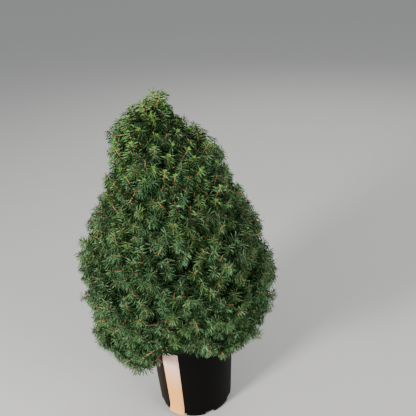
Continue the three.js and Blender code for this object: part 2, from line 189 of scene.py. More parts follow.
def ring_faces(rings, sides):
    """Triangles over rings of points that each close on themselves, with a pole before and after them."""
    ring, side = np.meshgrid(np.arange(rings - 1), np.arange(sides), indexing="ij")
    a, b = ring * sides + side, ring * sides + (side + 1) % sides
    wall = np.stack([a, b, b + sides, a, b + sides, a + sides], -1).reshape(-1, 3)
    first = np.arange(sides)
    last = first + (rings - 1) * sides
    pole = np.full(sides, rings * sides)
    foot = np.stack([pole, np.roll(first, -1), first], -1)
    tip = np.stack([pole + 1, last, np.roll(last, -1)], -1)
    return np.concatenate([wall, foot, tip])


def repeated(faces, points):
    """One item's faces over again for each of many. points is items by points by 3."""
    first = points.shape[1] * np.arange(len(points))
    return (faces + first[:, None, None]).reshape(-1, faces.shape[1])


def turned(profile, sides):
    """A closed surface of revolution: each (radius, height) of the profile is a ring, its ends are poles."""
    profile = np.asarray(profile, float)
    turn = np.arange(sides) / sides * 2 * pi
    radius, height = profile[1:-1, :1], profile[1:-1, 1:]
    rings = np.stack([radius * np.cos(turn), radius * np.sin(turn), height + 0 * turn], -1)
    poles = [(0, 0, profile[0, 1]), (0, 0, profile[-1, 1])]
    return np.concatenate([rings.reshape(-1, 3), poles]), ring_faces(len(profile) - 2, sides)


wall_heights = np.linspace(FOOT_ROUND * 1.2, rim_low - RIM_ROUND, WALL_STEPS)
outer_wall = np.stack([wall_radius(wall_heights), wall_heights], -1)
inner_heights = np.linspace(rim_low, POT_FLOOR + FOOT_ROUND, WALL_STEPS)
inner_wall = np.stack([wall_radius(inner_heights) - WALL, inner_heights], -1)
pot_profile = np.concatenate([
    [(0, 0), (FOOT_RADIUS * 0.5, 0)],
    arc((FOOT_RADIUS - FOOT_ROUND, FOOT_ROUND), FOOT_ROUND, -90, 0),
    outer_wall,
    arc((WALL_TOP_RADIUS + RIM_ROUND, rim_low - RIM_ROUND), RIM_ROUND, 180, 90),
    arc((RIM_RADIUS - RIM_ROUND, rim_low + RIM_ROUND), RIM_ROUND, -90, 0),
    arc((RIM_RADIUS - RIM_ROUND, POT_HEIGHT - RIM_ROUND), RIM_ROUND, 0, 90),
    arc((RIM_RADIUS - 3 * RIM_ROUND, POT_HEIGHT - RIM_ROUND), RIM_ROUND, 90, 150),
    inner_wall,
    [(wall_radius(POT_FLOOR) - WALL - FOOT_ROUND, POT_FLOOR), (0, POT_FLOOR)],
])
pot = new_piece("nursery_pot", *turned(pot_profile, POT_SIDES))

# The slots are cut by blocks with rounded upper corners, carried straight through the wall.
slot_outline = np.concatenate([
    [(SLOT_WIDTH / 2, -SLOT_HEIGHT)],
    arc((SLOT_WIDTH / 2 - SLOT_ROUND, SLOT_HEIGHT - SLOT_ROUND), SLOT_ROUND, 0, 90),
    arc((SLOT_ROUND - SLOT_WIDTH / 2, SLOT_HEIGHT - SLOT_ROUND), SLOT_ROUND, 90, 180),
    [(-SLOT_WIDTH / 2, -SLOT_HEIGHT)],
])
slot_azimuth = pi / 2 + (np.arange(SLOTS) + 0.5) / SLOTS * 2 * pi
slot_out = np.stack([np.cos(slot_azimuth), np.sin(slot_azimuth), 0 * slot_azimuth], -1)[:, None]
slot_section = slot_outline[:, :1] * np.cross(UP, slot_out) + slot_outline[:, 1:] * UP
slot_ends = [slot_out * (FOOT_RADIUS + depth) for depth in (-SLOT_INWARD, SLOT_INWARD)]
cutters = np.concatenate([end + slot_section for end in slot_ends] + slot_ends, 1)
slot_block = new_piece("slot_block", cutters, repeated(ring_faces(2, len(slot_outline)), cutters))
cut = pot.modifiers.new("drain_slots", "BOOLEAN")
cut.operation = "DIFFERENCE"
cut.solver = "EXACT"
cut.object = slot_block
cut_mesh = bpy.data.meshes.new_from_object(pot.evaluated_get(bpy.context.evaluated_depsgraph_get()))
pot.modifiers.clear()
pot.data = cut_mesh
bpy.data.objects.remove(slot_block)

# Moulded polypropylene: satin black with a fine matt grain, and a pale film of dust in soft patches. The film
# grows thick towards the left, so it also paints that side lighter, as the light from the left would.
polypropylene, tree, shader = new_material("moulded_black_polypropylene")
place = add_node(tree, "TexCoord", {}, {})
streaks = add_node(tree, "Mapping", {"Scale": (1, 1, 0.35)}, {"Vector": (place, "Object")})
patches = add_node(tree, "TexNoise", {"Scale": 1 / DUST_PATCH, "Detail": 5, "Roughness": 0.6},
                   {"Vector": (streaks, "Vector")})
axes = add_node(tree, "SeparateXYZ", {}, {"Vector": (place, "Object")})
# Painted light: the film thickens towards the left side, lightening it as if lit from there.
dust_and_light_side = add_node(tree, "MapRange", {"From Min": DUST_AND_LIT_SIDE[0], "From Max": DUST_AND_LIT_SIDE[1],
                                    "To Min": DUST_AND_LIT_FILM[0], "To Max": DUST_AND_LIT_FILM[1]}, {"Value": (axes, "X")})
patchy = add_node(tree, "MapRange", {"From Min": 0.3, "From Max": 0.7, "To Min": 0.45, "To Max": 1.15},
                  {"Value": (patches, "Fac")})
dust_and_light_film = add_node(tree, "Math", {"operation": "MULTIPLY"}, {0: (dust_and_light_side, "Result"), 1: (patchy, "Result")})
black = add_node(tree, "Mix", {"data_type": "RGBA", 6: colour(POT_BLACK), 7: colour(POT_DUST_AND_LIGHT)},
                 {0: (dust_and_light_film, "Value")})
grain = add_node(tree, "TexNoise", {"Scale": 1 / MOULD_GRAIN, "Detail": 2}, {"Vector": (place, "Object")})
relief = add_node(tree, "Bump", {"Strength": 0.25, "Distance": 0.0002}, {"Height": (grain, "Fac")})
gloss = add_node(tree, "MapRange", {"To Min": 0.42, "To Max": 0.62}, {"Value": (patches, "Fac")})
set_node(tree, shader, {"IOR": 1.49, "Specular IOR Level": 0.05},
         {"Base Color": (black, 2), "Roughness": (gloss, "Result"), "Normal": (relief, "Normal")})
pot.data.materials.clear()
pot.data.materials.append(polypropylene)
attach(pot, "root")
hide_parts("pot")

# Soil: peat and bark potting mix, pressed in to a thumb's width below the rim, rough on top
# with chips of bark lying on it.
SOIL_TOP = 0.145
SOIL_EDGE_DROP = 0.003
SOIL_LEVEL_RADIUS = 0.045
SOIL_AIR = 0.0003
SOIL_RINGS = 40
SOIL_SIDES = 120
CLOD = 0.0012  # height of the crumbs
CHIPS = 240
CHIP_SIZE = 0.0045
CHIP_SHAPE = np.array([1, 0.6, 0.3])
CHIP_SIZES = (0.4, 1)  # shares of that size
CHIP_RAGGED = (0.6, 1)
PEAT_DARK = "#241a12"
PEAT_LIGHT = "#5a4430"
BARK_CHIP = "#7a563a"
CRUMBLY = {"spread": {}, "noise": {"Detail": 6, "Roughness": 0.7},
           "bump": {"Strength": 0.7, "Distance": 0.001}}

rng = np.random.default_rng(7)


def grained_material(name, dark, light, grain_size, stretch, roughness, spread, noise, bump):
    """Two tones mixed by noise with grains of a size in metres, drawn out upwards where the stretch is
    under 1. The spread holds the noise that is all dark and all light. The same noise is the relief."""
    material, tree, shader = new_material(name)
    place = add_node(tree, "TexCoord", {}, {})
    drawn = add_node(tree, "Mapping", {"Scale": (1, 1, stretch)}, {"Vector": (place, "Object")})
    grain = add_node(tree, "TexNoise", {"Scale": 1 / grain_size, **noise}, {"Vector": (drawn, "Vector")})
    share = add_node(tree, "MapRange", spread, {"Value": (grain, "Fac")})
    tones = {"data_type": "RGBA", 6: colour(dark), 7: colour(light)}
    tone = add_node(tree, "Mix", tones, {0: (share, "Result")})
    relief = add_node(tree, "Bump", bump, {"Height": (grain, "Fac")})
    set_node(tree, shader, {"Roughness": roughness}, {"Base Color": (tone, 2), "Normal": (relief, "Normal")})
    return material


def crumbs(x, y):
    """Uneven height from -1 to 1: the product of two crossed waves, plus that of a finer pair."""
    coarse = np.sin(x * 410 + 1.3) * np.sin(y * 370 + 0.4)
    fine = np.sin(x * 1130 + y * 650) * np.sin(y * 1270 - x * 480)
    return 0.6 * coarse + 0.4 * fine


def edge_drop(radius):
    """How far the soil lies lower: an even fall from its level middle to the wall."""
    return SOIL_EDGE_DROP * np.clip((radius - SOIL_LEVEL_RADIUS) / (soil_edge - SOIL_LEVEL_RADIUS), 0, 1)


edge_height = SOIL_TOP - SOIL_EDGE_DROP
soil_edge = wall_radius(edge_height) - WALL - SOIL_AIR
soil_foot = wall_radius(POT_FLOOR) - WALL - SOIL_AIR
soil_radii = np.linspace(soil_edge, MILLIMETRE, SOIL_RINGS)
soil_profile = np.concatenate([
    [(0, POT_FLOOR + SOIL_AIR), (soil_foot, POT_FLOOR + SOIL_AIR)],
    np.stack([soil_radii, SOIL_TOP - CLOD - edge_drop(soil_radii)], -1),
    [(0, SOIL_TOP - CLOD)],
])
soil_points, soil_faces = turned(soil_profile, SOIL_SIDES)
is_top = soil_points[:, 2] > edge_height / 2
soil_points[is_top, 2] += CLOD * crumbs(soil_points[is_top, 0], soil_points[is_top, 1])
# Peat: dull and dark, with paler fibres of the crumbs' size. Bark chips: dry, fibrous, lighter.
peat = grained_material("peat_and_bark_mix", PEAT_DARK, PEAT_LIGHT, 0.004, 1, 0.95, **CRUMBLY)
dry_bark = grained_material("dry_bark_chips", PEAT_LIGHT, BARK_CHIP, 0.002, 1, 0.95, **CRUMBLY)
soil = new_piece("potting_mix", soil_points, soil_faces, peat)

# Chips lie at random over the soil, each a squat block with its corners pulled about.
CHIP_CORNERS = np.array([(x, y, z) for z in (-1, 1) for y in (-1, 1) for x in (-1, 1)], float)
CHIP_FACES = np.array([(0, 2, 3, 1), (4, 5, 7, 6), (0, 1, 5, 4), (2, 6, 7, 3), (0, 4, 6, 2), (1, 3, 7, 5)])
chip_azimuth = rng.uniform(0, 2 * pi, CHIPS)
chip_out = (soil_edge - 2 * CHIP_SIZE) * np.sqrt(rng.uniform(0.08, 1, CHIPS))
chip_size = CHIP_SIZE * rng.uniform(*CHIP_SIZES, (CHIPS, 1, 1)) * CHIP_SHAPE / 2
chip_turn = rng.uniform(0, 2 * pi, (CHIPS, 1))
x, y, z = np.moveaxis(CHIP_CORNERS * rng.uniform(*CHIP_RAGGED, (CHIPS, 8, 3)) * chip_size, -1, 0)
chip_x = chip_out * np.cos(chip_azimuth)
chip_y = chip_out * np.sin(chip_azimuth)
chip_z = SOIL_TOP - CLOD * (1 - crumbs(chip_x, chip_y)) - edge_drop(chip_out)
chip_points = np.stack([
    x * np.cos(chip_turn) - y * np.sin(chip_turn) + chip_x[:, None],
    x * np.sin(chip_turn) + y * np.cos(chip_turn) + chip_y[:, None],
    z + chip_z[:, None],
], -1)
chips = new_piece("bark_chips", chip_points, repeated(CHIP_FACES, chip_points), dry_bark, smooth=False)
for piece in (soil, chips):
    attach(piece, "root")
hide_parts("soil")

# Label: a bare strip of coated paper bent round the wall on the left front and tucked up under the
# foliage. Its lower end was folded once and eases off the wall.
LABEL_FROM = radians(-42)
LABEL_TO = radians(-17.5)
LABEL_LOW = 0.007
LABEL_HIGH = 0.152
LABEL_BEND = 0.024
LABEL_LIFT = 0.005
LABEL_AIR = 0.0003
LABEL_THICKNESS = 0.0006
LABEL_ACROSS = 17
LABEL_ALONG = 97
LABEL_EDGE = 0.006  # share of the width and length in which its cut edge turns over
PAPER_TINTS = {0.4: "#ffb664", 0.66: "#ffc896", 0.85: "#ffd8cc"}  # by share of the way up
PAPER_SMEAR = "#8d7f74"


def label_sheet(across, along, face):
    """A place on the strip: across turns it round the wall, along lifts it, and face is its thickness.
    Below the fold the square of the share still to go takes it off the wall."""
    angle = mix(LABEL_FROM, LABEL_TO, across)
    height = mix(LABEL_LOW, LABEL_HIGH, along)
    eased = np.clip((LABEL_BEND - height) / (LABEL_BEND - LABEL_LOW), 0, 1) ** 2
    radius = wall_radius(height) + LABEL_AIR + LABEL_LIFT * eased + face
    return np.stack(np.broadcast_arrays(radius * np.sin(angle), -radius * np.cos(angle), height), -1)


def edged(count):
    """Even shares from 0 to 1, with a narrow first and last step for the cut edge."""
    return np.concatenate([[0], np.linspace(LABEL_EDGE, 1 - LABEL_EDGE, count - 2), [1]])


# The strip's rings run round its section, out over the face and back over the rear.
section_across = np.concatenate([edged(LABEL_ACROSS), edged(LABEL_ACROSS)[::-1]])
section_face = np.repeat([LABEL_THICKNESS, 0], LABEL_ACROSS)
along_share = edged(LABEL_ALONG)[:, None]
label_rings = label_sheet(section_across, along_share, section_face)
label_poles = label_sheet(0.5, np.array([0, 1]), LABEL_THICKNESS / 2)
label_points = np.concatenate([label_rings.reshape(-1, 3), label_poles])
label_faces = ring_faces(LABEL_ALONG, 2 * LABEL_ACROSS)
label = new_piece("paper_label", label_points, label_faces)

# Every corner of the mesh takes the (across, along) place of its vertex as its UV.
label_places = np.stack(np.broadcast_arrays(section_across, along_share), -1).reshape(-1, 2)
label_places = np.concatenate([label_places, [(0.5, 0), (0.5, 1)]]).astype(np.float32)
label.data.uv_layers.new(name="place").data.foreach_set("uv", label_places[label_faces].ravel())

# Coated paper: half matt, its tint sun-bleached from peach at the foot to pinkish white at the top,
# with fine lengthwise fibres and a faint grey smear down its right edge.
paper, tree, shader = new_material("sun_faded_label_paper")
place = add_node(tree, "UVMap", {"uv_map": "place"}, {})
axes = add_node(tree, "SeparateXYZ", {}, {"Vector": (place, "UV")})
faded = add_node(tree, "ValToRGB", {}, {"Fac": (axes, "Y")})
faded.color_ramp.elements.new(0.5)
for stop, (share, tint) in zip(faded.color_ramp.elements, PAPER_TINTS.items()):
    stop.position = share
    stop.color = colour(tint)
drawn = add_node(tree, "Mapping", {"Scale": (40, 4, 1)}, {"Vector": (place, "UV")})
fibre = add_node(tree, "TexNoise", {"Scale": 1, "Detail": 4, "Roughness": 0.7}, {"Vector": (drawn, "Vector")})
fibre_tone = add_node(tree, "MapRange", {"To Min": 0.86, "To Max": 1.1}, {"Value": (fibre, "Fac")})
streaked = add_node(tree, "Mix", {"data_type": "RGBA", "blend_type": "MULTIPLY", 0: 1.0},
                    {6: (faded, "Color"), 7: (fibre_tone, "Result")})
edge = add_node(tree, "MapRange", {"From Min": 0.72, "From Max": 0.95}, {"Value": (axes, "X")})
worn = add_node(tree, "MapRange", {"From Min": 0.45, "From Max": 0.7, "To Max": 0.8},
                {"Value": (fibre, "Fac")})
smear = add_node(tree, "Math", {"operation": "MULTIPLY"}, {0: (edge, "Result"), 1: (worn, "Result")})
sheet = add_node(tree, "Mix", {"data_type": "RGBA", 7: colour(PAPER_SMEAR)},
                 {0: (smear, "Value"), 6: (streaked, 2)})
relief = add_node(tree, "Bump", {"Strength": 0.2, "Distance": 0.0002}, {"Height": (fibre, "Fac")})
set_node(tree, shader, {"Roughness": 0.6, "Specular IOR Level": 0.25},
         {"Base Color": (sheet, 2), "Normal": (relief, "Normal")})
label.data.materials.append(paper)
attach(label, "root")
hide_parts("label_strip")

# Trunk: one woody stem that leans a little to the left, flared where it leaves the soil and ending
# inside the crown. Its bark is thin and flaky.
TREE_TOP = 0.596
LEAN = -0.036
BOW = 0.003
TRUNK_LOW = SOIL_TOP + SOIL_AIR
TRUNK_TIP = 0.526
TRUNK_FOOT_RADIUS = 0.007
TRUNK_TIP_RADIUS = 0.0025
FLARE = 0.005
FLARE_HEIGHT = 0.010
FLARE_LOBES = 5
FLARE_LOBE_DEPTH = 0.1
TRUNK_RINGS = 260
TRUNK_SIDES = 48
BARK_DEPTH = 0.07  # share of the radius
BARK_GREY = "#7d6a58"
BARK_BROWN = "#4a3424"
WOODY = {"spread": {"From Min": 0.3, "From Max": 0.7}, "noise": {"Detail": 5, "Roughness": 0.65},
         "bump": {"Strength": 0.6, "Distance": 0.0006}}


def trunk_share(height):
    """Share of the way up the trunk, from 0 at the soil to 1 at its tip."""
    return np.clip((height - TRUNK_LOW) / (TRUNK_TIP - TRUNK_LOW), 0, 1)


def axis_at(height):
    """The trunk's middle line: a steady lean with half a sine wave of bow."""
    height = np.asarray(height, float)
    return np.stack([LEAN * height, BOW * np.sin(pi * trunk_share(height)), height], -1)


def trunk_radius(height):
    """An even taper plus a flare that dies away up from the soil."""
    taper = mix(TRUNK_FOOT_RADIUS, TRUNK_TIP_RADIUS, trunk_share(height))
    return taper + FLARE * np.exp((TRUNK_LOW - height) / FLARE_HEIGHT)


def flakes(along, turn):
    """Bark relief from -1 to 1: scales that are drawn out lengthwise, two sizes of crossed waves
    sharpened to plates with cracks between them."""
    large = np.sin(4 * turn + 2.1 * np.sin(along * 260)) * np.sin(along * 330 + 1.7 * np.sin(3 * turn))
    small = np.sin(9 * turn + 1.9 * np.sin(along * 700)) * np.sin(along * 950 + 2.3 * np.sin(5 * turn))
    plates = 0.65 * large + 0.35 * small
    return np.sign(plates) * np.sqrt(np.abs(plates))


def unit(vectors):
    """The same directions, one long."""
    return vectors / np.linalg.norm(vectors, axis=-1, keepdims=True)


def tubes(paths, radii, sides):
    """Closed round limbs. paths is limbs by rings by 3, and radii limbs by rings, or by sides too. A ring
    is its centre plus radius times (cosine of the turn times one way square to the path plus sine times
    another)."""
    run = unit(np.gradient(paths, axis=1))
    chord = np.abs(paths[:, -1] - paths[:, 0])
    across = unit(np.cross(np.eye(3)[chord.argmin(-1)][:, None], run))
    third = np.cross(run, across)
    turn = (np.arange(sides) / sides * 2 * pi)[:, None]
    spokes = np.cos(turn) * across[:, :, None] + np.sin(turn) * third[:, :, None]
    if radii.ndim == 2:
        radii = radii[:, :, None]
    rings = paths[:, :, None] + radii[..., None] * spokes
    blunt = radii[:, [0, -1]].mean(-1)[..., None] * np.array([-0.5, 0.5])[:, None]
    poles = paths[:, [0, -1]] + blunt * run[:, [0, -1]]
    points = np.concatenate([rings.reshape(len(paths), -1, 3), poles], 1)
    return points, repeated(ring_faces(paths.shape[1], sides), points)


# Spruce bark: thin grey flakes over warm brown, dull all over.
spruce_bark = grained_material("flaky_spruce_bark", BARK_BROWN, BARK_GREY, 0.003, 0.5, 0.9, **WOODY)
trunk_heights = mix(TRUNK_LOW, TRUNK_TIP, np.linspace(0, 1, TRUNK_RINGS) ** 1.2)
trunk_turn = np.arange(TRUNK_SIDES) / TRUNK_SIDES * 2 * pi
lobes = np.cos(FLARE_LOBES * trunk_turn) * np.exp((TRUNK_LOW - trunk_heights) / FLARE_HEIGHT)[:, None]
bark_relief = BARK_DEPTH * flakes(trunk_heights[:, None], trunk_turn)
trunk_radii = trunk_radius(trunk_heights)[:, None] * (1 + FLARE_LOBE_DEPTH * lobes + bark_relief)
trunk_tube = tubes(axis_at(trunk_heights)[None], trunk_radii[None], TRUNK_SIDES)
trunk = new_piece("trunk_bark", *trunk_tube, spruce_bark)
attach(trunk, "root")
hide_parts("trunk")

# Crown: the plant's own dense outline, a cone with a round nose and a full left shoulder over a
# rounded underside that hangs lowest on the left. It is shared out among masses, one to a bough.
BELT_HEIGHT = 0.270
CROWN_RADIUS = 0.166
HEM_LEFT = 0.121
HEM_RIGHT = 0.151
HEM_POWER = 3
UNDERSIDE_POWER = 2.8
UNDERSIDE_LEFT = 1.5
CONE_START = 1.157
CONE_LOSS = 0.9
BELT_BLEND = 0.2
NOSE_START = 0.71
NOSE_POWER = 0.68
SHOULDER = 0.42
SHOULDER_PLACE = 0.857
SHOULDER_WIDTH = 0.103
SLOPE_OFF = 0.62
SLOPE_OFF_PLACE = 0.907
SLOPE_OFF_WIDTH = 0.087
BELLY = 0.072
BELLY_HEIGHT = 0.320
BELLY_WIDTH = 0.052
LUMP = 0.0025
LUMPS = [(6, 0.019), (-4, 0.012)]  # turns round the crown, and metres of height to a radian
CREASE_DEPTH = 0.009
CREASE_WIDTH = 0.012
MOST_INSET = 0.35
MOST_DRAWN_IN = 90  # millimetres
RIM_ROOM_RADIUS = 0.088
RIM_ROOM_HEIGHT = 0.172
LIMB_ROOM = 0.001
TIERS = [
    {"name": "hem", "rise": 0.42, "out": 0.66, "count": 6, "turn": 0.2},
    {"name": "belt", "height": 0.287, "out": 0.67, "count": 6, "turn": 0.72},
    {"name": "middle", "height": 0.356, "out": 0.65, "count": 5, "turn": 0.35},
    {"name": "shoulder", "height": 0.419, "out": 0.62, "count": 4, "turn": 0.95},
    {"name": "neck", "height": 0.480, "out": 0.58, "count": 3, "turn": 0.1},
]
TIP_MASS_HEIGHT = 0.551


def hem_height(azimuth):
    """Where the underside would close on the axis: low on the left and high on the right."""
    return mix(HEM_RIGHT, HEM_LEFT, ((1 - np.cos(azimuth)) / 2) ** HEM_POWER)


def swell(place, centre, width):
    """A bell curve, 1 at its centre: e to the power of minus the square of the distance in widths."""
    return np.exp(-(((place - centre) / width) ** 2))


def crown_radius(height, azimuth):
    """The outline on the side of an azimuth. Below the belt it is the square root of 1 less a power of the
    share fallen. Above it, it is an even cone blended into the belt, times a nose that rounds off as a
    power of 1 less a square, fuller on the left and slighter on the right near the top. A belly swells
    the left over the belt, and two sine waves round the crown make it lumpy."""
    left = (1 - np.cos(azimuth)) / 2
    fall = np.clip((BELT_HEIGHT - height) / (BELT_HEIGHT - hem_height(azimuth)), 0, 1)
    underside = np.sqrt(1 - fall ** (UNDERSIDE_POWER * (1 + UNDERSIDE_LEFT * left ** 2)))
    climb = np.clip((height - BELT_HEIGHT) / (TREE_TOP - BELT_HEIGHT), 0, 1)
    cone = CONE_START - CONE_LOSS * climb
    blend = np.maximum(BELT_BLEND - np.abs(1 - cone), 0)
    side = np.minimum(1, cone) - blend ** 2 / (4 * BELT_BLEND)
    nose = 1 - (np.maximum(0, climb - NOSE_START) / (1 - NOSE_START)) ** 2
    to_left, to_right = np.maximum(0, -np.cos(azimuth)), np.maximum(0, np.cos(azimuth))
    fuller = SHOULDER * to_left * swell(climb, SHOULDER_PLACE, SHOULDER_WIDTH)
    slighter = SLOPE_OFF * to_right * swell(climb, SLOPE_OFF_PLACE, SLOPE_OFF_WIDTH)
    topside = side * nose ** NOSE_POWER * (1 + fuller - slighter)
    belly = 1 + BELLY * to_left * swell(height, BELLY_HEIGHT, BELLY_WIDTH)
    lumps = sum(np.sin(turns * azimuth + height / pitch) for turns, pitch in LUMPS)
    return (CROWN_RADIUS + LUMP * lumps) * belly * np.where(height < BELT_HEIGHT, underside, topside)


mass_names = []
centres = []
outwards = []
for tier in TIERS:
    for i in range(tier["count"]):
        azimuth = (i + tier["turn"]) / tier["count"] * 2 * pi
        height = tier.get("height", mix(hem_height(azimuth), BELT_HEIGHT, tier.get("rise", 0)))
        mass_names.append(tier["name"] + "_" + str(i + 1))
        outwards.append(np.array([cos(azimuth), sin(azimuth), 0]))
        centres.append(axis_at(height) + tier["out"] * crown_radius(height, azimuth) * outwards[-1])
centres = np.array(centres + [axis_at(TIP_MASS_HEIGHT)])
outwards = np.array(outwards)
apart = np.linalg.norm(centres[:, None] - centres, axis=-1)
np.fill_diagonal(apart, np.inf)


def has_room(points, own, inset, margin):
    """Whether each point is in the space of its own mass: nearer to that mass's centre than to any other's
    by the margin, under the skin by the inset and the crease, and clear of the trunk and the pot's rim."""
    squares = ((points[:, None] - centres) ** 2).sum(-1)
    each = np.arange(len(points))
    borders = (squares - squares[each, own][:, None]) / (2 * apart[own])
    borders[each, own] = np.inf
    border = borders.min(1)
    height = points[:, 2]
    x, y, _ = (points - axis_at(height)).T
    out = np.hypot(x, y)
    skin = crown_radius(height, np.arctan2(y, x))
    crease = CREASE_DEPTH * swell(border, 0, CREASE_WIDTH)
    under_skin = out < skin - np.minimum(crease + inset, MOST_INSET * skin)
    at_rim = (height < RIM_ROOM_HEIGHT) & (np.hypot(*points[:, :2].T) < RIM_ROOM_RADIUS)
    in_trunk = (height < TRUNK_TIP + LIMB_ROOM) & (out < trunk_radius(height) + LIMB_ROOM)
    return (border > margin) & under_skin & ~at_rim & ~in_trunk


def reach(starts, directions, own, inset, margin):
    """How far each straight way goes before it leaves its mass's space, to the millimetre."""
    distance = np.zeros(len(starts))
    going = np.ones(len(starts), bool)
    while going.any():
        going &= has_room(starts + directions * (distance + MILLIMETRE)[:, None], own, inset, margin)
        distance[going] += MILLIMETRE
    return distance


def drawn_in(ends, directions, own, inset, margin):
    """Ends drawn back against their directions by whole millimetres until they have room."""
    ends = ends.copy()
    for _ in range(MOST_DRAWN_IN):
        outside = ~has_room(ends, own, inset, margin)
        ends[outside] -= directions[outside] * MILLIMETRE
    return ends


# Boughs: one tapering limb to each mass, which climbs out of the trunk, levels out and runs on as the
# stem from which the mass's twigs branch. Their bark is the trunk's, thinner.
CORE_INSET = 0.014
CORE_BORDER = 0.002
CORE_INWARD = 0.5
STEM_SLOPE = 0.35
STEM_STUB = 0.006
BOUGH_GAP = 0.0003
BOUGH_RISE = 0.5
BOUGH_BEND = 0.45
BOUGH_LOWEST = 0.014
BOUGH_STAGGER = 0.007
BOUGH_FOOT_RADIUS = 0.0032
BOUGH_TIP_RADIUS = 0.0019
STEM_TIP_RADIUS = 0.0012
BOUGH_RINGS = 48
STEM_RINGS = 12
BOUGH_SIDES = 14


def bend_path(start, bend, end, share):
    """A quadratic curve that leaves its start towards the bend and comes to its end from it."""
    share = np.asarray(share)[..., None]
    return (1 - share) ** 2 * start + 2 * share * (1 - share) * bend + share ** 2 * end


inward = -unit(outwards + STEM_SLOPE * UP)
turned_in = np.maximum(0, -(inward * outwards).sum(-1))
core_reach = reach(centres[:-1], inward, np.arange(len(inward)), CORE_INSET, CORE_BORDER)
stub = core_reach * mix(1, CORE_INWARD, turned_in) + STEM_STUB
stem_feet = centres[:-1] + inward * stub[:, None]
bough_ends = stem_feet + inward * BOUGH_GAP
spans = np.linalg.norm(bough_ends - axis_at(bough_ends[:, 2]), axis=-1)
stagger = BOUGH_STAGGER * np.array([int(name[-1]) % 2 == 0 for name in mass_names])
foot_heights = np.maximum(SOIL_TOP + BOUGH_LOWEST + stagger, bough_ends[:, 2] - BOUGH_RISE * spans - stagger)
bough_bends = bough_ends + inward * (BOUGH_BEND * spans)[:, None]
bough_share = np.linspace(0, 1, BOUGH_RINGS)
bough_paths = bend_path(*(p[:, None] for p in (axis_at(foot_heights), bough_bends, bough_ends)), bough_share)
stem_share = np.linspace(0, 1, STEM_RINGS + 1)[1:, None]
stem_paths = mix(bough_ends[:, None], centres[:-1, None], stem_share)
limb_paths = np.concatenate([bough_paths, stem_paths], 1)
limb_radii = np.concatenate([
    mix(BOUGH_FOOT_RADIUS, BOUGH_TIP_RADIUS, bough_share),
    mix(BOUGH_TIP_RADIUS, STEM_TIP_RADIUS, stem_share[:, 0]),
])
limb_turn = np.arange(BOUGH_SIDES) / BOUGH_SIDES * 2 * pi
limb_relief = 1 + BARK_DEPTH * flakes(limb_paths[:, :, 2, None] + limb_paths[:, :, 0, None], limb_turn)
bough_tubes = tubes(limb_paths, limb_radii[:, None] * limb_relief, BOUGH_SIDES)
boughs = new_piece("bough_bark", *bough_tubes, spruce_bark)
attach(boughs, "root")
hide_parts(*["bough_" + name for name in mass_names])

# Shoots: a twig runs from each mass's stem to its place on the crown's skin and ends in a young shoot
# that faces out of the skin and turns up to the light. Side shoots leave it at two places behind its end.
# Layers of shoots from the skin inwards: how many, and how far under the skin they end.
LAYERS = [(780, 0.0030), (940, 0.018), (420, 0.050)]
ROOTED = 0.4  # share of the mass's stem, from its middle, on which twigs leave it
FACING = 0.65  # how far shoots turn from their mass's own fan to the way out of the skin
STEEPEST = 3.0  # most that the skin's outline may slope, where it closes at hem and tip
SHOOT_LENGTH = 0.029
LENGTH_SPREAD = (0.8, 1.2)
TWIG_MARGIN = -0.014  # shoots reach this far in among a neighbouring mass's
UPTURN = (0.2, 1.2)
STRAY = 0.16
UNEVEN = 0.008  # metres of depth between neighbouring end shoots
TWIG_BEND = 0.5
TWIG_SAG = 0.002
MIDWAY = 0.6
SIDE_SHOOTS = [
    {"back": 0.003, "spread": (35, 65), "length": 0.026},
    {"back": 0.018, "spread": (35, 75), "length": 0.034},
]
SIDE_LOWEST = 0.1  # share of the twig
TWIG_STEP = 0.05  # share over which its way is taken
SIDE_UPTURN = 0.15
SIDE_STRAY = 0.4
LEAST_SHOOT = 0.010
INNER = 3  # order of the inner shoots; the end shoots are 0, the side shoots 1 and 2
SHOOT_CURL = 0.17
SHOOT_RISE = 0.06
GOLDEN_ANGLE = pi * (3 - 5 ** 0.5)
SKIN_STEPS = 601


def skin_shares(count):
    """Shares of the way from hem to top that lie evenly over the skin, from its running area at the front."""
    front = -pi / 2
    heights = np.linspace(hem_height(front), TREE_TOP, SKIN_STEPS)
    radii = crown_radius(heights, front)
    slant = np.hypot(np.diff(radii), np.diff(heights))
    area = np.concatenate([[0], np.cumsum(slant * (radii[1:] + radii[:-1]))])
    return np.interp((np.arange(count) + 0.5) / count * area[-1], area, np.linspace(0, 1, SKIN_STEPS))


def way_aside(runs, turn):
    """The direction square to each run, at a turn round it."""
    reference = np.where(np.abs(runs[..., 2:]) > 0.9, (1.0, 0, 0), UP)
    across = unit(np.cross(reference, runs))
    return np.cos(turn)[:, None] * across + np.sin(turn)[:, None] * np.cross(runs, across)


def leaning(runs, asides, lean, lift):
    """Directions that lean from their runs to the side by an angle, then up by the lift."""
    return unit(np.cos(lean)[:, None] * runs + np.sin(lean)[:, None] * asides + lift * UP)


def skin_normal(heights, azimuths, radials):
    """The way out of the skin: outward, less the outline's slope with height times up, and less its slope
    round the crown times the way round."""
    step = 0.002
    turn = 0.02
    rise = (crown_radius(heights + step, azimuths) - crown_radius(heights - step, azimuths)) / (2 * step)
    widening = (crown_radius(heights, azimuths + turn) - crown_radius(heights, azimuths - turn)) / (2 * turn)
    widening /= np.maximum(crown_radius(heights, azimuths), CROWN_RADIUS / 4)
    rise = np.clip(rise, -STEEPEST, STEEPEST)
    return unit(radials - rise[:, None] * UP - widening[:, None] * np.cross(UP, radials))


# Over the label the hem is parted: nothing hangs within the label's width under a slope that rises
# forward from its upper edge. To the right of the label it may hang a little lower.
PARTING_LEFT = -0.056
PARTING_RIGHT = 0.014
PARTING_END = 0.046
PARTING_STEP = 0.008
PARTING_BACK = 0.0675
PARTING_SLOPE = 0.80
PARTING_CLEAR = 0.007  # shoots keep this much higher than their needles


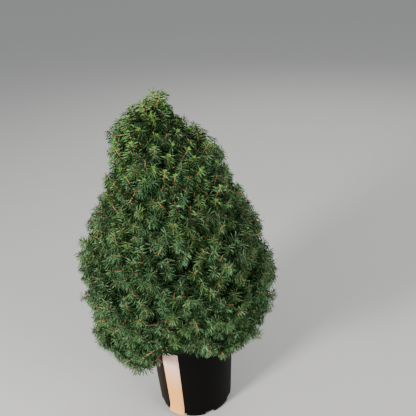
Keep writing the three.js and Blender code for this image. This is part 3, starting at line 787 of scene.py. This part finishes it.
def over_label(points, clear=PARTING_CLEAR):
    """Whether each point hangs in that parting, or less than the clear height over it."""
    ahead = -points[:, 1] - PARTING_BACK
    in_width = (points[:, 0] > PARTING_LEFT) & (points[:, 0] < PARTING_END)
    low = LABEL_HIGH + clear - PARTING_STEP * (points[:, 0] > PARTING_RIGHT)
    return in_width & (ahead > 0) & (points[:, 2] < low + PARTING_SLOPE * ahead)


counts, depths = zip(*LAYERS)
azimuths = np.concatenate([np.arange(count) * GOLDEN_ANGLE for count in counts])
skin_share = np.concatenate([skin_shares(count) for count in counts])
under = np.repeat(depths, counts)
is_outer = under == depths[0]
under[is_outer] += UNEVEN * rng.random(is_outer.sum()) ** 2
heights = mix(hem_height(azimuths), TREE_TOP, skin_share)
radials = np.stack([np.cos(azimuths), np.sin(azimuths), 0 * azimuths], -1)
skin_places = axis_at(heights) + crown_radius(heights, azimuths)[:, None] * radials
twig_count = len(azimuths)
owns = np.linalg.norm(skin_places[:, None] - centres, axis=-1).argmin(1)
all_stem_feet = np.concatenate([stem_feet, [axis_at(TRUNK_TIP)]])
roots = mix(centres[owns], all_stem_feet[owns], ROOTED * rng.random((twig_count, 1)))
outs = unit(skin_places - roots)
normals = skin_normal(heights, azimuths, radials)
tips = drawn_in(skin_places, normals, owns, under, TWIG_MARGIN)
upturn = mix(*UPTURN, rng.random((twig_count, 1)))
directions = unit(mix(outs, normals, FACING) + upturn * UP + STRAY * rng.normal(size=(twig_count, 3)))
lengths = SHOOT_LENGTH * rng.uniform(*LENGTH_SPREAD, twig_count)
feet = tips - directions * lengths[:, None]
twig_bends = feet - directions * (TWIG_BEND * np.linalg.norm(feet - roots, axis=-1))[:, None]
twig_bends[:, 2] = np.maximum(twig_bends[:, 2], np.minimum(roots[:, 2], feet[:, 2]) - TWIG_SAG)
midway = bend_path(roots, twig_bends, feet, MIDWAY)
free = ~(over_label(tips) | over_label(feet) | over_label(midway))
is_outer, owns, roots, twig_bends, feet, directions, lengths = (
    values[free] for values in (is_outer, owns, roots, twig_bends, feet, directions, lengths))
twig_count = len(feet)

shoots = []
for chosen, order in ((is_outer, 0), (~is_outer, INNER)):
    shoots.append((feet[chosen], directions[chosen], lengths[chosen], np.full(chosen.sum(), order)))
twig_lengths = np.maximum(np.linalg.norm(feet - roots, axis=-1), MILLIMETRE)
for order, side in enumerate(SIDE_SHOOTS, 1):
    share = np.clip(1 - side["back"] / twig_lengths, SIDE_LOWEST, 1)
    node = bend_path(roots, twig_bends, feet, share)
    run = unit(node - bend_path(roots, twig_bends, feet, share - TWIG_STEP))
    turn = rng.uniform(0, 2 * pi, twig_count) + rng.uniform(-SIDE_STRAY, SIDE_STRAY, twig_count)
    spread = np.radians(rng.uniform(*side["spread"], twig_count))
    direction = leaning(run, way_aside(run, turn), spread, SIDE_UPTURN)
    wanted = side["length"] * rng.uniform(*LENGTH_SPREAD, twig_count)
    length = np.minimum(wanted, reach(node, direction, owns, depths[0], TWIG_MARGIN))
    chosen = is_outer & ~over_label(node + direction * length[:, None]) & (length > LEAST_SHOOT)
    shoots.append((node[chosen], direction[chosen], length[chosen], np.full(chosen.sum(), order)))
foot, direction, length, order = (np.concatenate(values) for values in zip(*shoots))
shoot_count = len(foot)
curl = np.cross(direction, rng.normal(size=(shoot_count, 3))) * SHOOT_CURL + SHOOT_RISE * UP


def along_shoot(share, index):
    """A place on a shoot: straight on along it, and off to its own side with the square of the share."""
    share = np.asarray(share, float)[..., None]
    return foot[index] + length[index, None] * (share * direction[index] + share ** 2 * curl[index])


def shoot_run(share, index):
    """The way that a shoot runs there."""
    return unit(direction[index] + 2 * np.asarray(share, float)[..., None] * curl[index])


# Each young shoot is a slim stem, each older twig a thicker one behind it. The older wood is dull and
# brown, and this year's turns orange to tan with a little sheen. Many young shoots, most of them low
# down, are painted the older wood's dull brown instead, as painted shade, and are made thinner.
TWIG_RINGS = 7
TWIG_SIDES = 4
YOUNG_SIDES = 3
TWIG_RADII = (0.0013, 0.0010)  # at foot and tip
YOUNG_RINGS = 3
YOUNG_RADII = (0.0010, 0.0007)
SHADED_SHOOT_SHARES = (0.78, 0.30)  # of the young shoots are painted brown as shade, and thin, at the belt and at the top
SHADED_SHOOT_THICKNESS = 0.6
TWIG_BROWN = "#6e4526"
TWIG_TAN = "#a06a3a"
YOUNG_ORANGE = "#b06e34"
YOUNG_TAN = "#c29058"

twig_bark = grained_material("twig_bark", TWIG_BROWN, TWIG_TAN, 0.002, 0.6, 0.75, **WOODY)
young_bark = grained_material("young_shoot_bark", YOUNG_ORANGE, YOUNG_TAN, 0.0015, 0.6, 0.55, **WOODY)
shaded_shoot_bark = grained_material("shaded_brown_shoot_bark", TWIG_BROWN, TWIG_BROWN, 0.0015, 0.6, 0.7, **WOODY)
twig_share = np.linspace(0, 1, TWIG_RINGS)
twig_paths = bend_path(roots[:, None], twig_bends[:, None], feet[:, None], twig_share)
twig_tubes = tubes(twig_paths, mix(*TWIG_RADII, twig_share)[None], TWIG_SIDES)
twigs = new_piece("older_twigs", *twig_tubes, twig_bark)

young_share = np.linspace(0, 1, YOUNG_RINGS)
young_paths = np.stack([along_shoot(share, slice(None)) for share in young_share], 1)
young_radii = mix(*YOUNG_RADII, young_share)[None]
shoot_climb = np.clip((foot[:, 2] - BELT_HEIGHT) / (TREE_TOP - BELT_HEIGHT), 0, 1)
# Painted shade: these young shoots take the dull brown of shaded stems.
is_shaded_shoot = rng.random(shoot_count) < mix(*SHADED_SHOOT_SHARES, shoot_climb)
shaded_shoot_tubes = tubes(young_paths[is_shaded_shoot], SHADED_SHOOT_THICKNESS * young_radii, YOUNG_SIDES)
young = new_piece("young_shoots", *tubes(young_paths[~is_shaded_shoot], young_radii, YOUNG_SIDES), young_bark)
shaded_shoots = new_piece("shaded_brown_shoots", *shaded_shoot_tubes, shaded_shoot_bark)

foliage_nodes = ["foliage_" + name for name in mass_names] + ["foliage_tip"]
for piece in (twigs, young, shaded_shoots):
    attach(piece, "root")
    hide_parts(*foliage_nodes)

# Needles: stiff, four-sided in life and slightly bowed, set singly in a spiral all round the shoot.
# They lean forward more towards its end, where they close round the bud.
NEEDLE = 0.0145
NEEDLE_WIDTH = 0.0010
SHOOT_SIZES = (0.85, 1.1)  # shares of that length from shoot to shoot
NEEDLE_SIZES = (0.93, 1.05)  # and from needle to needle
NEEDLE_WIDTHS = (0.85, 1.15)
TIP_SHORTER = 0.25  # share by which they shorten to the shoot's end
INNER_WIDTH = 3.0  # inner needles, which close the crown, are this much wider
INNER_LENGTH = 1.25  # and this much longer
NEEDLE_SHOULDERS = (0.25, 0.72)  # shares of the way where one side and the other are widest
NEEDLE_BOW = 0.08
NEEDLE_DROOP = 0.38
UPRIGHT_SPAN = 0.05  # needles hang less and less over this much below the top
INNER_TOP = 0.568  # metres, above which there are no inner or old needles
NEEDLES_A_METRE = np.array([2650, 1750, 1050, 1150])  # by the shoot's order
SPIRAL_STRAY = 0.1
BARE_FOOT = 0.1
FOOT_LEAN = radians(88)
TIP_LEAN = radians(56)
LEAN_STRAY = 0.07
PARTED_SHARE = 0.3  # of the shoots are bare along the top
PARTED_WIDTH = radians(60)
PARTED_UNTIL = 0.85  # share of the shoot, past which its needles stand all round
OUTSIDE_RISE = 1.2  # how much the outer side of a shoot counts as its upper side
POT_ROOM = 0.001
NEEDLE_FACES = np.array([(0, 2, 1), (3, 1, 2), (0, 1, 3), (0, 3, 2)])


def spindles(feet, directions, lengths, widths, bows):
    """Needles, each a foot, a tip and two corners between them. A corner stands off the line from foot to
    tip by half the width, a sixth of a turn to one side of a random way, and is pushed on by the bow."""
    turn = rng.uniform(0, 2 * pi, len(feet))
    corners = []
    for share, off in zip(NEEDLE_SHOULDERS, (-pi / 3, pi / 3)):
        aside = widths[:, None] / 2 * way_aside(directions, turn + off)
        corners.append(feet + (directions * share + bows) * lengths[:, None] + aside)
    tips = feet + directions * lengths[:, None]
    points = np.stack([feet, *corners, tips], 1)
    return points, repeated(NEEDLE_FACES, points)


needle_counts = np.round(length * NEEDLES_A_METRE[order]).astype(int)
shoot_of = np.repeat(np.arange(shoot_count), needle_counts)
rank = np.concatenate([np.arange(count) for count in needle_counts])
share = mix(BARE_FOOT, 1, (rank + 0.5) / needle_counts[shoot_of])
shoot_phase = rng.uniform(0, 2 * pi, shoot_count)
turn = shoot_phase[shoot_of] + rank * GOLDEN_ANGLE + rng.normal(0, SPIRAL_STRAY, len(shoot_of))
run = shoot_run(share, shoot_of)
aside = way_aside(run, turn)
lean = mix(FOOT_LEAN, TIP_LEAN, share ** 2) + rng.normal(0, LEAN_STRAY, len(shoot_of))
needle_feet = along_shoot(share, shoot_of)
droop = NEEDLE_DROOP * np.clip((TREE_TOP - needle_feet[:, 2:]) / UPRIGHT_SPAN, 0, 1)
needle_runs = leaning(run, aside, lean, -droop)
is_inner = order[shoot_of] == INNER
shoot_size = rng.uniform(*SHOOT_SIZES, shoot_count)
needle_lengths = NEEDLE * shoot_size[shoot_of] * (1 - TIP_SHORTER * share ** 3)
needle_lengths *= rng.uniform(*NEEDLE_SIZES, len(shoot_of))
needle_lengths[is_inner] *= INNER_LENGTH
parted = rng.random(shoot_count) < PARTED_SHARE
outside = unit(unit(needle_feet - axis_at(needle_feet[:, 2])) + OUTSIDE_RISE * UP)
outside_square = outside - (outside * run).sum(-1, keepdims=True) * run
facing_out = (aside * outside).sum(-1) > np.cos(PARTED_WIDTH) * np.linalg.norm(outside_square, axis=-1)
needle_tips = needle_feet + needle_runs * needle_lengths[:, None]
by_pot = np.hypot(*needle_tips[:, :2].T) < RIM_RADIUS + POT_ROOM
in_pot = by_pot & (needle_tips[:, 2] < RIM_ROOM_HEIGHT)
kept = ~(parted[shoot_of] & facing_out & (share < PARTED_UNTIL)) & ~in_pot & ~over_label(needle_tips, 0)
kept &= ~(is_inner & (needle_tips[:, 2] > INNER_TOP))

# Old needles stay on the last stretch of each twig, short and few.
OLD_STRETCH = 0.050
OLD_NEEDLES = 11
OLD_NEEDLE = 0.85 * NEEDLE
OLD_FORWARD = 0.5
OLD_RISE = 0.1
old_share = np.tile((np.arange(OLD_NEEDLES) + 0.5) / OLD_NEEDLES, twig_count)
old_of = np.repeat(np.arange(twig_count), OLD_NEEDLES)
old_back = np.clip(1 - old_share * OLD_STRETCH / twig_lengths[old_of], 0, 1)
old_feet = bend_path(roots[old_of], twig_bends[old_of], feet[old_of], old_back)
old_turn = np.tile(np.arange(OLD_NEEDLES) * GOLDEN_ANGLE, twig_count) + rng.uniform(0, 2 * pi, len(old_of))
old_aside = way_aside(directions[old_of], old_turn)
old_runs = unit(directions[old_of] * OLD_FORWARD + old_aside + OLD_RISE * UP)
under_top = old_feet[:, 2] < INNER_TOP - NEEDLE
old_of, old_feet, old_runs = old_of[under_top], old_feet[under_top], old_runs[under_top]

# The tints are dealt out by shoot, bluer low down and yellower towards the tip. Inner shoots take a
# dark tint that is painted shade for the crown's depths, and the shade tint, given more often to side
# shoots, is painted shade as well. A share of each outer shoot's needles are painted dark, as shade on
# needles turned from the light and in the gaps between them, and a share of the others are painted
# pale, partly their waxy bloom and partly a painted highlight.
TINTS = {
    "old": "#20301a",
    # Painted shade: the inner shoots' dark tint.
    "inner_shade": "#20381a",
    # Painted shade: needles tinted dark as if turned from the light, reading as gaps between needles.
    "shaded_side": "#1b3014",
    "shade": "#4b6d43",
    "blue": "#588255",
    "green": "#5f854a",
    # Partly the real waxy bloom, partly a painted highlight on single needles.
    "bloom_highlight": "#73915c",
    "fresh": "#729f55",
}
LOW_SHARES = {"shade": 0.08, "blue": 0.64, "green": 0.28}
HIGH_SHARES = {"shade": 0.22, "blue": 0.14, "green": 0.64}
PALE_HIGHLIGHT_SHARE = 0.17
# Share of outer needles painted dark as shade.
SHADED_SIDE_SHARE = 0.30
SHADED_SHARES = np.array([0, 0.55, 0.75, 0])  # by the shoot's order
FRESH_FROM = 0.538  # metres, above which the leading shoots are fresh green
NEEDLE_GLOSS = {"Roughness": 0.42, "Specular IOR Level": 0.3}
DULL_GLOSS = {"Roughness": 0.9, "Specular IOR Level": 0.1}  # wide inner needles would glint
ASIDE_BOW = 0.3


def growth_material(name, code, patch, detail, tones, gloss):
    """Green growth: one colour times noise, in patches of a size in metres, as the tones map it."""
    material, tree, shader = new_material(name)
    place = add_node(tree, "TexCoord", {}, {})
    noise = {"Scale": 1 / patch, "Detail": detail}
    mottle = add_node(tree, "TexNoise", noise, {"Vector": (place, "Object")})
    tone = add_node(tree, "MapRange", tones, {"Value": (mottle, "Fac")})
    skin = add_node(tree, "Mix", {"data_type": "RGBA", "blend_type": "MULTIPLY", 0: 1.0, 6: colour(code)},
                    {7: (tone, "Result")})
    set_node(tree, shader, gloss, {"Base Color": (skin, 2)})
    return material


def dealt_tint(shares):
    """The number of one tint for each shoot, by chance with the shares given."""
    return rng.choice(len(TINTS), shoot_count, p=[shares.get(tint, 0) for tint in TINTS])


number = list(TINTS).index
low_tint = dealt_tint(LOW_SHARES)
high_tint = dealt_tint(HIGH_SHARES)
shoot_tint = np.where(rng.random(shoot_count) < shoot_climb, high_tint, low_tint)
shoot_tint[rng.random(shoot_count) < SHADED_SHARES[order]] = number("shade")
# Painted shade: inner shoots take the dark inner tint.
shoot_tint[order == INNER] = number("inner_shade")
shoot_tint[(order < INNER) & (foot[:, 2] > FRESH_FROM)] = number("fresh")
# Painted shade: a share of each outer shoot's needles take the dark tint.
turned_to_shade = ~is_inner & (rng.random(len(shoot_of)) < SHADED_SIDE_SHARE)
needle_tint = np.where(turned_to_shade, number("shaded_side"), shoot_tint[shoot_of])
# Pale needles: waxy bloom and painted highlight together.
is_pale_highlight = (needle_tint > number("shade")) & (rng.random(len(shoot_of)) < PALE_HIGHLIGHT_SHARE)
needle_tint[is_pale_highlight] = number("bloom_highlight")

widths = NEEDLE_WIDTH * np.where(is_inner, INNER_WIDTH, 1) * rng.uniform(*NEEDLE_WIDTHS, len(shoot_of))
outer_needles = needle_feet, needle_runs, needle_lengths, widths, NEEDLE_BOW * (run - ASIDE_BOW * aside)
old_needles = (old_feet, old_runs, np.full(len(old_of), OLD_NEEDLE),
               np.full(len(old_of), NEEDLE_WIDTH * INNER_WIDTH), NEEDLE_BOW * directions[old_of])
for tint, code in TINTS.items():
    chosen = kept & (needle_tint == number(tint))
    parts = old_needles if tint == "old" else [values[chosen] for values in outer_needles]
    # Spruce needle: a smooth waxy skin with a soft gloss, its tint uneven along and between needles.
    waxy = growth_material("waxy_spruce_needle_" + tint, code, 0.006, 3,
                           {"From Min": 0.3, "From Max": 0.7, "To Min": 0.7, "To Max": 1.3},
                           DULL_GLOSS if tint in ("old", "inner_shade") else NEEDLE_GLOSS)
    needles = new_piece("needles_" + tint, *spindles(*parts), waxy, smooth=False)
    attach(needles, "root")
    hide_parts(*foliage_nodes)

# Buds: some shoots are breaking, most of them near the top. Each is a soft round brush of short pale
# green needles round the end of its shoot, half matt.
BUDS = 76
BUD_CLIMB = 2.6  # how strongly they gather towards the top
BUD_NEEDLES = 24
BUD_LENGTH = 0.0046
BUD_LENGTHS = (0.8, 1.15)
BUD_WIDTH = 0.0010
BUD_LEAN = radians(48)
BUD_SINK = 0.0005
BUD_BOW = 0.12
BUD_GREEN = "#80ba4e"

end_height = foot[:, 2] + direction[:, 2] * length
bud_pull = np.exp(BUD_CLIMB * (end_height - BELT_HEIGHT) / (TREE_TOP - BELT_HEIGHT))
bud_score = rng.random(shoot_count) * bud_pull * (order == 0)
bud_shoots = np.argsort(-bud_score)[:BUDS]
bud_of = np.repeat(bud_shoots, BUD_NEEDLES)
bud_place = np.tile((np.arange(BUD_NEEDLES) + 0.5) / BUD_NEEDLES, BUDS)
bud_run = shoot_run(1, bud_of)
bud_aside = way_aside(bud_run, np.tile(np.arange(BUD_NEEDLES) * GOLDEN_ANGLE, BUDS))
bud_lengths = BUD_LENGTH * rng.uniform(*BUD_LENGTHS, len(bud_of))
bud_needles = spindles(
    along_shoot(1, bud_of) - bud_run * BUD_SINK,
    leaning(bud_run, bud_aside, BUD_LEAN * np.sqrt(bud_place), 0),
    bud_lengths, np.full(len(bud_of), BUD_WIDTH), BUD_BOW * bud_aside)
bud_tones = {"To Min": 0.75, "To Max": 1.2}
soft_growth = growth_material("soft_new_growth", BUD_GREEN, 0.004, 2, bud_tones, {"Roughness": 0.5})
buds = new_piece("breaking_buds", *bud_needles, soft_growth, smooth=False)
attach(buds, "root")

# Resting buds: other shoots end in a small pointed bud in dry orange-brown scales, dull as paper,
# which shows at the middle of its fan of needles.
RESTING_SHARE = 0.4  # of the outer shoots carry one
SCALE_LENGTH = 0.0030
SCALE_RADIUS = 0.0009
SCALE_RADII = (0.75, 1.1)  # shares of that radius from bud to bud
SCALE_SIDES = 5
SCALE_STATIONS = np.array([-0.25, 0.2, 0.65, 1])  # shares of the length from the shoot's end
SCALE_SWELL = np.array([0.7, 1, 0.8, 0.25])  # shares of the radius there
SCALE_BROWN = "#5e3418"
SCALE_ORANGE = "#a4683a"

is_resting = (order < INNER) & (rng.random(shoot_count) < RESTING_SHARE)
is_resting[bud_shoots] = False
resting = np.flatnonzero(is_resting)
scale_ways = SCALE_LENGTH * SCALE_STATIONS[:, None] * shoot_run(1, resting)[:, None]
scale_paths = along_shoot(1, resting)[:, None] + scale_ways
scale_radii = SCALE_RADIUS * SCALE_SWELL * rng.uniform(*SCALE_RADII, (len(resting), 1))
dry_scales = grained_material("dry_bud_scales", SCALE_BROWN, SCALE_ORANGE, 0.0015, 1, 0.6, **WOODY)
scales = new_piece("resting_buds", *tubes(scale_paths, scale_radii, SCALE_SIDES), dry_scales)
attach(scales, "root")
